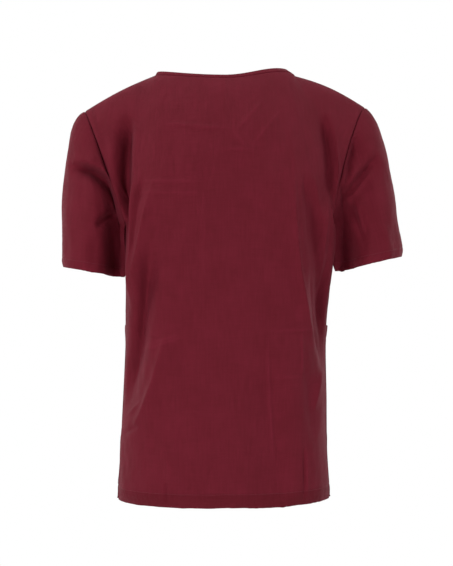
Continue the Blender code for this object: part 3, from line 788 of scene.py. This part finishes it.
def polyester_thread(name):
    """Spun polyester sewing thread, two plies twisted together, a little brighter and
    glossier than the cloth, so that a line of stitches reads as a fine light line. The
    brighter colour on the plies' crests is partly its own and partly a painted highlight;
    the grooves between the plies take the cloth's darker colour as painted shade."""
    material, tree, shader = new_material(name, THREAD_SURFACE)
    along = add_node(tree, "ShaderNodeUVMap", {"uv_map": "grain"}).outputs["UV"]
    twist = wave_over(tree, along, (PLY_SLANT / (THREAD_WIDTH * MM), 1 / (PLY_PITCH * MM), 0))
    inputs = {"Value": twist, "From Min": -1.0, "From Max": 1.0}
    height = add_node(tree, "ShaderNodeMapRange", inputs=inputs).outputs["Result"]
    # Painted shade in the grooves between the plies, painted highlight on their crests.
    colour = colour_between(tree, height, TWILL_HEX, THREAD_HEX)
    tree.links.new(colour, shader.inputs["Base Color"])
    tree.links.new(bumped(tree, THREAD_BUMP, THREAD_RELIEF, height), shader.inputs["Normal"])
    return material


def sew(name, lines, material):
    """Lockstitches along lines on the cloth, each a short thread that dips in at its ends."""
    shares, heights, radii = np.array(STITCH_SHAPE).T
    rings = []
    for line, out in lines:
        run = from_first(line[None])[0]
        starts = np.arange(STITCH_START, run[-1] - STITCH_LENGTH, STITCH_PITCH)
        stations = starts[:, None] + shares * STITCH_LENGTH
        centre = np.stack([np.interp(stations, run, line[:, k]) for k in range(3)], axis=-1)
        up = unit(np.stack([np.interp(stations, run, out[:, k]) for k in range(3)], axis=-1))
        beside = unit(np.cross(up, np.gradient(centre, axis=1)))
        ways = []
        for corner in range(THREAD_CORNERS):
            angle = 2 * math.pi * (corner + 0.5) / THREAD_CORNERS
            lift = heights + radii * math.sin(angle)
            aside = radii * math.cos(angle)
            ways.append(centre + up * lift[:, None] + beside * aside[:, None])
        rings.append(np.stack(ways, axis=2))
    points = np.concatenate(rings)
    count, stations, corners = points.shape[:3]
    index = np.arange(stations * corners).reshape(stations, corners)
    ahead = np.roll(index, -1, axis=1)
    tube = np.stack([index[:-1], ahead[:-1], ahead[1:], index[1:]], axis=-1).reshape(-1, 4)
    one = np.concatenate([tube, [index[0, ::-1]], [index[-1]]])
    faces = (one + np.arange(count)[:, None, None] * index.size).reshape(-1, 4)
    round_thread = THREAD_WIDTH * math.pi / corners * np.arange(corners)
    grain = np.stack(np.meshgrid(round_thread, shares * STITCH_LENGTH), axis=-1).reshape(-1, 2)
    grain = np.tile(grain, (count, 1))
    add_piece(name, points.reshape(-1, 3), faces.tolist(), grain, material)


def make_panel(name, facing, plain, folds, imprints, seed):
    """A panel's cloth with its stitches, and the grid that its neighbours are sewn to."""
    held = panel_held(plain)
    grid = folded(plain, outward(plain, facing), folds + imprints, facing, held)
    grid = lived_in(grid, outward(grid, facing), seed, held)
    face = finish_panel(grid, facing)
    piece = cloth_piece(
        f"{name}_cloth",
        with_allowances(face, facing),
        facing,
        twill_body,
        step=2,
        # painted highlight on pressed ridges, painted shade on the hem band
        painted_light_and_shade=panel_painted_light(face, imprints),
    )
    sew(f"{name}_stitches", panel_stitches(face, facing), thread_body)
    return grid, piece


twill_body = woven_twill("woven_twill_body")
thread_body = polyester_thread("polyester_thread_body")
back_plain = lay_panel(1, BACK_NECK_COLUMNS, BACK_ARMHOLE_SCOOP, back_neck_point)
back_grid, back_panel = make_panel("back_panel", 1, back_plain, BACK_FOLDS, BACK_IMPRINTS, 11)
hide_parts("back_panel")


# --- Front panel ------------------------------------------------------------------------
# One piece like the back, cut lower at the neck into a V with a blunt tip, where the neck
# band's two ends meet. Its hem and vents are made like those of the back.

FRONT_NECK_COLUMNS = 8
FRONT_ARMHOLE_SCOOP = 190.0
VEE_Y = -111.0
VEE_Z = -117.0
VEE_FLAT = 24.0
VEE_BOW = 1.6
FRONT_FOLDS = (
    Fold((158, -74), (170, -160), (164, -280), 20, 11, 8, 0.1),
    Fold((147, -96), (146, -160), (151, -250), -5, 4, 12, 0.6),
    Fold((148, -170), (153, -265), (153, -380), -12, 4, 28, 0.5),
    Fold((-150, -70), (-166, -140), (-170, -250), 18, 13, 9, 0.0),
    Fold((-166, -110), (-178, -190), (-176, -270), -6, 10, 4, 0.6),
    Fold((-176, -180), (-174, -270), (-164, -380), -12, 26, 4, 0.5),
    Fold((104, -250), (122, -330), (152, -420), -5, 4, 14, 0.7),
    Fold((116, -290), (136, -400), (160, -500), 10, 8, 12, 0.1),
    Fold((-100, -220), (-118, -330), (-154, -430), -5, 14, 4, 0.7),
    Fold((-116, -260), (-140, -370), (-164, -480), 10, 12, 8, 0.1),
    Fold((-40, -420), (-56, -540), (-62, -690), -5, 20, 18, 0.0),
    Fold((52, -450), (60, -560), (72, -690), -4, 18, 18, 0.0),
    Fold((24, -128), (34, -190), (64, -260), 3, 8, 10, 0.2),
    Fold((-24, -128), (-38, -200), (-56, -280), 3, 10, 8, 0.2),
)


def vee_point(side, share):
    """The front neckline, from the shoulder down to the blunt tip of the V."""
    steep = 1 - 1 / FRONT_NECK_COLUMNS
    down = min(share / steep, 1)
    x = side.neck_x + (VEE_FLAT - side.neck_x) * down
    if share > steep:
        x = VEE_FLAT * (1 - share) / (1 - steep)
    y = SHOULDER_Y + (VEE_Y - SHOULDER_Y) * (1 - (1 - down) ** VEE_BOW)
    z = side.neck_z + (VEE_Z - side.neck_z) * down
    return np.array([side.sign * x, y, z])


front_plain = lay_panel(-1, FRONT_NECK_COLUMNS, FRONT_ARMHOLE_SCOOP, vee_point)
front_grid, front_panel = make_panel("front_panel", -1, front_plain, FRONT_FOLDS, (), 21)
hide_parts("front_panel")


# --- Sleeves ----------------------------------------------------------------------------
# Two set-in short sleeves, each one piece closed by a seam under the arm. The sleeve head
# is sewn round the armhole, and the cuff is turned up 14 mm and stitched.

SLEEVE_ROWS = 72
SLEEVE_HEM = 14.0
SLEEVE_HEM_ROWS = 7
SLEEVE_HEM_INSIDE = (7, 5, 3, 1)
SLEEVE_ROWS_HELD = 5
SLEEVE_SEED = 31
Cuff = namedtuple("Cuff", "x y z half_width half_depth tilt cap_reach")
CUFFS = {
    LEFT: Cuff(214.5, -10, -319.5, 54, 64, 9, 144),
    RIGHT: Cuff(234, -10, -306.4, 58, 62, 12, 122),
}
UNDERARM_REACH = 3.0
CUFF_REACH = 120.0
SLEEVE_DROP = 100.0
SLEEVE_SPREAD = 30.0
CAP_RISE = 30.0
TUCK = 0.6  # how far the side towards the body has sunk in, at this angle round the cuff
TUCK_ANGLE = 42.0
TUCK_SPREAD = 26.0
CAP_ROUNDNESS = 1.5
# The folds of each sleeve behind and in front
SLEEVE_FOLDS = {
    LEFT: (
        (
            Fold((256, -152), (190, -145), (158, -226), 22, 10, 5, 0.3),
            Fold((250, -141), (190, -136), (160, -208), -7, 4, 20, 0.6),
            Fold((208, -250), (192, -234), (170, -228), 9, 7, 4, 0.3),
            Fold((164, -176), (161, -255), (157, -370), 29, 21, 16, 0.0),
            Fold((206, -262), (214, -290), (210, -330), 3, 10, 8, 0.0),
        ),
        (
            Fold((236, -150), (200, -166), (172, -222), 8, 14, 5, 0.3),
            Fold((240, -140), (200, -154), (168, -210), -4, 4, 14, 0.5),
            Fold((184, -185), (182, -255), (178, -350), 14, 16, 14, 0.0),
            Fold((214, -250), (204, -232), (184, -230), 4, 7, 5, 0.2),
        ),
    ),
    RIGHT: (
        (
            Fold((-250, -130), (-218, -170), (-176, -210), 18, 6, 18, 0.4),
            Fold((-246, -144), (-222, -180), (-184, -212), -8, 16, 5, 0.6),
            Fold((-190, -206), (-206, -240), (-226, -290), 10, 7, 10, 0.2),
            Fold((-214, -212), (-222, -240), (-228, -266), 5, 5, 7, 0.2),
            Fold((-174, -165), (-175, -255), (-177, -360), 31, 14, 27, 0.0),
            Fold((-210, -96), (-199, -146), (-188, -204), 9, 4, 8, 0.2),
            Fold((-254, -236), (-262, -270), (-266, -320), -4, 8, 8, 0.0),
            Fold((-206, -80), (-226, -180), (-240, -310), 10, 26, 16, 0.0),
        ),
        (
            Fold((-246, -140), (-222, -172), (-184, -206), 8, 6, 12, 0.4),
            Fold((-242, -152), (-218, -182), (-184, -214), -4, 14, 5, 0.5),
            Fold((-188, -190), (-190, -255), (-188, -335), 13, 11, 16, 0.0),
            Fold((-204, -236), (-214, -258), (-232, -280), 4, 6, 7, 0.2),
        ),
    ),
}


def lay_sleeve(side, back, front):
    """A sleeve's outer face: round from the underarm up the back, and down to the cuff."""
    edge = 0 if side is LEFT else -1
    first = HEM_ROWS + BODY_ROWS
    armhole = np.concatenate([back[edge, first:], front[edge, first:][::-1][1:]])
    cuff = CUFFS[side]
    tilt = math.radians(cuff.tilt)
    down = np.array([side.sign * math.sin(tilt), 0, -math.cos(tilt)])
    sideways = np.array([side.sign * math.cos(tilt), 0, math.sin(tilt)])
    middle = np.array([side.sign * cuff.x, cuff.y, cuff.z])
    grid = []
    for i, start in enumerate(armhole):
        angle = 2 * math.pi * i / (len(armhole) - 1)
        high = (1 - math.cos(angle)) / 2
        from_tuck = 180 - abs(math.degrees(angle) - 180) - TUCK_ANGLE
        tuck = TUCK * math.exp(-((from_tuck / TUCK_SPREAD) ** 2))
        end = middle - sideways * cuff.half_width * math.cos(angle)
        end[1] += cuff.half_depth * math.sin(angle) * (1 - tuck)
        out = UNDERARM_REACH + (cuff.cap_reach - UNDERARM_REACH) * high**CAP_ROUNDNESS
        swell = SLEEVE_SPREAD * math.sin(angle)
        leave = np.array([side.sign * out, swell, CAP_RISE * high - SLEEVE_DROP])
        arrive = down * [high, 1, 1] * CUFF_REACH
        above_hem = 1 - SLEEVE_HEM / np.linalg.norm(end - start)
        shares = np.concatenate(
            [
                np.linspace(0, above_hem, SLEEVE_ROWS + 1),
                np.linspace(above_hem, 1, SLEEVE_HEM_ROWS + 1)[1:],
            ]
        )[:, None]
        grid.append(hermite(start, leave, end, arrive, shares))
    return np.array(grid)


def ring_outward(grid, turned):
    """Directions square to a sleeve, whose first and last columns are the same line."""
    around = np.concatenate([grid[-2:-1], grid, grid[1:2]])
    return outward(around, turned)[1:-1]


def finish_sleeve(grid, side):
    """The sleeve from its cuff up, with its head drawn in at the armhole seam."""
    grid = finer_edge(grid[:, ::-1])
    normals = ring_outward(grid, -side.sign)
    moved = hem_relief(grid, SLEEVE_HEM) - seam_depth(grid)
    grid = grid + normals * moved[..., None]
    grid[:, -1] -= unit(grid[:, -1] - grid[:, -2]) * SEAM_GAP
    grid[-1] = grid[0]
    return grid


def with_sleeve_hem(grid, side):
    """The finished sleeve with its cuff turned up inside and its seam allowance."""
    normals = ring_outward(grid, -side.sign)
    hem = turned_under(grid, normals, SLEEVE_HEM_INSIDE)
    down = grid[:, -1] - normals[:, -1] * SEAM_BELOW / 2
    return np.concatenate([hem, grid, down[:, None]], axis=1)


twill_sleeves = woven_twill("woven_twill_sleeves")
thread_sleeves = polyester_thread("polyester_thread_sleeves")
for side, word in ((LEFT, "left"), (RIGHT, "right")):
    plain = lay_sleeve(side, back_grid, front_grid)
    from_head = np.arange(plain.shape[1])
    held = np.broadcast_to(smoothstep(from_head, 0, SLEEVE_ROWS_HELD), plain.shape[:2])
    behind, before = SLEEVE_FOLDS[side]
    directions = ring_outward(plain, side.sign)
    half_folded = folded(plain, directions, behind, 1, held)
    grid = folded(half_folded, directions, before, -1, held)
    grid = lived_in(grid, ring_outward(grid, side.sign), SLEEVE_SEED + side.sign, held)
    grid[-1] = grid[0]
    sleeve_face = finish_sleeve(grid, side)
    sleeve = cloth_piece(
        f"sleeve_{word}_cloth",
        with_sleeve_hem(sleeve_face, side),
        -side.sign,
        twill_sleeves,
    )
    hem_line = line_on(sleeve_face, ring_outward(sleeve_face, -side.sign), SLEEVE_HEM)
    sew(f"sleeve_{word}_stitches", [hem_line], thread_sleeves)
    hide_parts(f"sleeve_{word}")


# --- Neck band --------------------------------------------------------------------------
# A straight strip folded in two and pressed, in three lengths: narrow behind the neck,
# and widening down each side of the V to its blunt tip, where the two ends meet.

BAND_BACK_Y = 47.0
BAND_BACK_Z = -4.5
BAND_VEE_Y = -96.0
BAND_VEE_Z = -88.0
BAND_CLOTH = 1.6  # both layers
BAND_LAYER = 0.4
BAND_ROWS = 8
BAND_SEAM_DIP = 1.6  # times as deep as other pieces, it is drawn in at its seam


def back_band_point(side, share):
    """The free edge of the band behind the neck."""
    at_side, at_centre = (side.band_x, side.band_z), (BAND_BACK_Y, BAND_BACK_Z)
    return round_neck(side, share, at_side, at_centre, side.neck_arch * BAND_ARCH)


def front_band_point(side, share):
    """The free edge of the band down the V."""
    x = side.band_x * (1 - share)
    y = SHOULDER_Y + (BAND_VEE_Y - SHOULDER_Y) * (1 - (1 - share) ** VEE_BOW)
    z = side.band_z + (BAND_VEE_Z - side.band_z) * share
    return np.array([side.sign * x, y, z])


def doubled_band(seam, edge, turned):
    """The strip from its seam over the folded edge and back down inside."""
    shares = np.linspace(0, 1, BAND_ROWS + 1)[:, None]
    face = seam[:, None] + (edge - seam)[:, None] * shares
    face = finer_edge(face[:, ::-1])[:, ::-1]
    normals = outward(face, turned)
    face = face - normals * BAND_SEAM_DIP * seam_depth(face[:, ::-1])[:, ::-1, None]
    face[:, 0] += unit(face[:, 1] - face[:, 0]) * SEAM_GAP
    behind = face - normals * BAND_CLOTH
    fold = (face[:, -1] + behind[:, -1]) / 2 + unit(edge - seam) * BAND_CLOTH / 2
    return np.concatenate([face, fold[:, None], behind[:, ::-1]], axis=1)


twill_band = woven_twill("woven_twill_neck_band", turn=90.0)
first = SHOULDER_COLUMNS * PER_COLUMN
back_seam = back_grid[first:-first, -1]
back_shares = np.linspace(0, 1, BACK_NECK_COLUMNS * PER_COLUMN + 1)
left_half = [back_band_point(LEFT, share) for share in back_shares]
right_half = [back_band_point(RIGHT, share) for share in back_shares]
band = cloth_piece(
    "neck_band_back_cloth",
    doubled_band(back_seam, np.array(left_half + right_half[-2::-1]), 1),
    1,
    twill_band,
    BAND_LAYER,
)
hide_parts("neck_band_back")
front_seam = front_grid[first:-first, -1]
vee_shares = np.linspace(0, 1, FRONT_NECK_COLUMNS * PER_COLUMN + 1)
for side, word in ((LEFT, "left"), (RIGHT, "right")):
    seam = (front_seam if side is LEFT else front_seam[::-1])[: len(vee_shares)]
    edge = np.array([front_band_point(side, share) for share in vee_shares])
    band = cloth_piece(
        f"neck_band_{word}_cloth",
        doubled_band(seam, edge, -side.sign),
        -side.sign,
        twill_band,
        BAND_LAYER,
    )
    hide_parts(f"neck_band_{word}")


# --- Patch pockets ----------------------------------------------------------------------
# Four patches on the front, each with a hemmed top edge and turned, stitched sides: one on
# the wearer's left breast, one low at each side seam and a small one on the right of them.

Pocket = namedtuple("Pocket", "name left right top bottom clip under")
POCKETS = (
    Pocket("chest_pocket", 142, 28, -173.1, -342.6, "right", 0.0),
    Pocket("lower_pocket_left", 170, 72, -407.7, -668, "right", 0.0),
    Pocket("lower_pocket_right", -72, -170, -407.7, -668, "left", 0.0),
    Pocket("utility_pocket", -72, -128, -407.7, -505.3, None, 1.2),
)
CLIP = 26.0
SIDE_SEAM_X = 150.0
BODY_SPACING = (UNDERARM - HEM - HEM_DEPTH) / BODY_ROWS
POCKET_EDGE = 1.3  # outer face of a turned edge above the front panel
POCKET_EDGE_ROLL = 0.7  # the way on which its turned edge rises to that
POCKET_FULLNESS = 0.9  # how much further its middle stands off
POCKET_FULL_AT = 22.0  # how far in from the sewn edges it does so fully
POCKET_MOUTH = 1.4  # how much further its open top edge does
POCKET_MOUTH_ENDS = (2.0, 12.0)  # how far in that begins and is full
POCKET_MOUTH_REACH = 30.0  # how far down it reaches
POCKET_HEM = 20.0
POCKET_HEM_INSIDE = (1, 0.66, 0.33, 0.1)  # where that hem has rows, as shares of its depth
POCKET_STITCHES = (1.6, 7.0)  # two rows, this far in from the sewn edges
POCKET_DIP_WIDTH = 0.9
POCKET_HEM_DIP_WIDTH = 1.1


def row_heights():
    """The height that each row of a panel had before it was folded, up to the chest."""
    return np.concatenate([body_heights(), np.linspace(UNDERARM, CHEST, CHEST_ROWS + 1)[1:]])


def place_pocket(pocket):
    """Where the pocket's points lie on the front, as fractions of its columns and rows."""
    heights = row_heights()
    middle = np.abs(heights - (pocket.top + pocket.bottom) / 2).argmin()
    across = front_grid[::PER_COLUMN, middle, 0]
    first = np.abs(across - pocket.left).argmin() * PER_COLUMN
    last = np.abs(across - pocket.right).argmin() * PER_COLUMN
    low, high = np.interp((pocket.bottom, pocket.top), heights, np.arange(len(heights)))
    columns = np.arange(first, last + 1)
    place = front_grid[columns, middle, 0]
    inset = {"left": pocket.left - place, "right": place - pocket.right}.get(pocket.clip)
    raised = np.zeros(len(columns))
    if inset is not None:
        raised = np.clip(CLIP - np.abs(inset), 0, CLIP) / BODY_SPACING
    share = np.linspace(0, 1, int(high - low) + 1)
    rows = (low + raised)[:, None] + (high - low - raised)[:, None] * share
    return np.broadcast_to(columns[:, None], rows.shape) + 0.0, rows


def lay_pocket(pocket):
    """The pocket's outer face, standing off the front more where it isn't sewn down. Its finer
    rows and columns are spaced by how far apart its points lie on the front."""
    columns, rows = place_pocket(pocket)
    places = np.stack([columns, rows], axis=-1)
    placed = np.concatenate([on_cloth(front_grid, columns, rows), places], axis=-1)
    finer = finer_sides(finer_edge(finer_edge(placed)[:, ::-1])[:, ::-1])
    columns, rows = np.moveaxis(finer[..., 3:], -1, 0)
    base = on_cloth(front_grid, columns, rows)
    from_bottom = from_first(base)
    from_top = from_first(base[:, ::-1])[:, ::-1]
    from_left = from_first(crosswise(base)).T
    from_right = from_first(crosswise(base[::-1])).T[::-1]
    sewn = np.minimum(np.minimum(from_left, from_right), from_bottom)
    edge = POCKET_EDGE - CLOTH
    lift = pocket.under + CLOTH + edge * smoothstep(sewn, 0, POCKET_EDGE_ROLL)
    lift += POCKET_FULLNESS * smoothstep(sewn, POCKET_STITCHES[1], POCKET_FULL_AT)
    near_mouth = smoothstep(POCKET_MOUTH_REACH - from_top, 0, POCKET_MOUTH_REACH)
    lift += POCKET_MOUTH * smoothstep(sewn, *POCKET_MOUTH_ENDS) * near_mouth
    for distance in POCKET_STITCHES:
        lift -= STITCH_DIP * np.exp(-(((sewn - distance) / POCKET_DIP_WIDTH) ** 2))
    hem_dip = np.exp(-(((from_top - POCKET_HEM) / POCKET_HEM_DIP_WIDTH) ** 2))
    lift -= STITCH_DIP * hem_dip * (sewn > 1)
    return base + on_cloth(outward(front_grid, -1), columns, rows) * lift[..., None]


def with_pocket_hem(face):
    """The pocket with its open top edge turned down inside."""
    down = face[:, ::-1]
    normals = outward(down, 1)
    away = from_first(down).mean(axis=0)
    rows = [int(np.abs(away - POCKET_HEM * share).argmin()) for share in POCKET_HEM_INSIDE]
    hem = turned_under(down, normals, rows)
    hem[:, -1, 2] += HEM_GAP
    return np.concatenate([face, hem[:, ::-1]], axis=1)


def pocket_stitches(pocket, face):
    """Two rows along the sewn edges that aren't caught in a side seam, and the top hem's."""
    normals = outward(face, -1)
    lines = [part_of(line_on(face[:, ::-1], normals[:, ::-1], POCKET_HEM), slice(2, -2))]
    sides = [(crosswise(face), crosswise(normals), pocket.left < SIDE_SEAM_X)]
    flipped = crosswise(face[::-1]), crosswise(normals[::-1])
    sides.append((*flipped, pocket.right > -SIDE_SEAM_X))
    for distance in POCKET_STITCHES:
        bottom = line_on(face, normals, distance)
        lines.append(part_of(bottom, slice(3, -3)))
        for grid, out, stitched in sides:
            if stitched:
                lines.append(part_of(line_on(grid, out, distance), slice(3, -1)))
    return lines


twill_pockets = woven_twill("woven_twill_pockets")
thread_pockets = polyester_thread("polyester_thread_pockets")
for pocket in POCKETS:
    grid = lay_pocket(pocket)
    piece = cloth_piece(
        f"{pocket.name}_cloth", with_pocket_hem(grid), -1, twill_pockets
    )
    stitches = pocket_stitches(pocket, grid)
    sew(f"{pocket.name}_stitches", stitches, thread_pockets)
    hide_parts(pocket.name)
    size = grain_of(grid)


# --- Studio -----------------------------------------------------------------------------
# A pale plain floor far below, bright paper beyond the top as seen from behind, and seven
# soft lights: two behind it, one at each side, one overhead and two in front.

CAMERA_PLACE = (-2.4, 3000.0, -338.0)
CAMERA_LENS = 117.4
FLOOR_Z = -1450.0
FLOOR_SIZE = 8000.0
FLOOR_HEX = "f4f4f4"
BACKDROP = 1.0  # how brightly the paper shines, and the rest of the room
SURROUND = 0.2
BACKDROP_EDGE = (-0.93, -0.6)  # where the paper fades into the room, as its direction's Y

camera = add_object("camera", bpy.data.cameras.new("camera"))
camera.location = [place * MM for place in CAMERA_PLACE]
camera.rotation_euler = (math.pi / 2, 0, math.pi)
camera.data.lens = CAMERA_LENS
bpy.context.scene.camera = camera

floor_mesh = bpy.data.meshes.new("floor")
reach = FLOOR_SIZE * MM / 2
corners = ((-1, -1), (1, -1), (1, 1), (-1, 1))
floor_points = [(x * reach, y * reach, FLOOR_Z * MM) for x, y in corners]
floor_mesh.from_pydata(floor_points, [], [(0, 1, 2, 3)])
floor_surface = {"Base Color": linear(FLOOR_HEX), "Roughness": 0.9}
floor_mesh.materials.append(new_material("matt_floor_paint", floor_surface)[0])
floor = add_object("floor", floor_mesh)

SoftLight = namedtuple("SoftLight", "name place aim size power")
SOFT_LIGHTS = (
    SoftLight("key_left", (1500, 2400, -100), (0, 0, -600), 1000, 28.5),
    SoftLight("key_right", (-1500, 2400, -50), (0, 0, -550), 1000, 12.5),
    SoftLight("side_left", (1750, -50, 1400), (0, 0, -350), 1100, 21),
    SoftLight("side_right", (-1750, -50, 1400), (0, 0, -350), 1100, 17),
    SoftLight("overhead", (0, 250, 2300), (0, 0, 0), 1200, 9),
    SoftLight("front_left", (2400, -2400, 300), (0, 0, -350), 1500, 24),
    SoftLight("front_right", (-2400, -2400, 300), (0, 0, -350), 1500, 24),
)
for light in SOFT_LIGHTS:
    lamp = bpy.data.lights.new(light.name, "AREA")
    lamp.size = light.size * MM
    lamp.energy = light.power
    holder = add_object(light.name, lamp)
    place, aim = (np.array(p) * MM for p in (light.place, light.aim))
    holder.location = place
    holder.rotation_euler = Vector(aim - place).to_track_quat("-Z", "Y").to_euler()

world = bpy.data.worlds.new("pale_surround")
world.use_nodes = True
sky = world.node_tree
direction = add_node(sky, "ShaderNodeTexCoord").outputs["Generated"]
parts = add_node(sky, "ShaderNodeSeparateXYZ", inputs={"Vector": direction})
glow_inputs = {
    "Value": parts.outputs["Y"],
    "From Min": BACKDROP_EDGE[0],
    "From Max": BACKDROP_EDGE[1],
    "To Min": BACKDROP,
    "To Max": SURROUND,
}
glow = add_node(
    sky, "ShaderNodeMapRange", {"interpolation_type": "SMOOTHSTEP"}, glow_inputs
)
sky.nodes["Background"].inputs["Color"].default_value = (1.0, 1.0, 1.0, 1.0)
sky.links.new(glow.outputs["Result"], sky.nodes["Background"].inputs["Strength"])
bpy.context.scene.world = world
bpy.context.scene.view_settings.view_transform = "Standard"
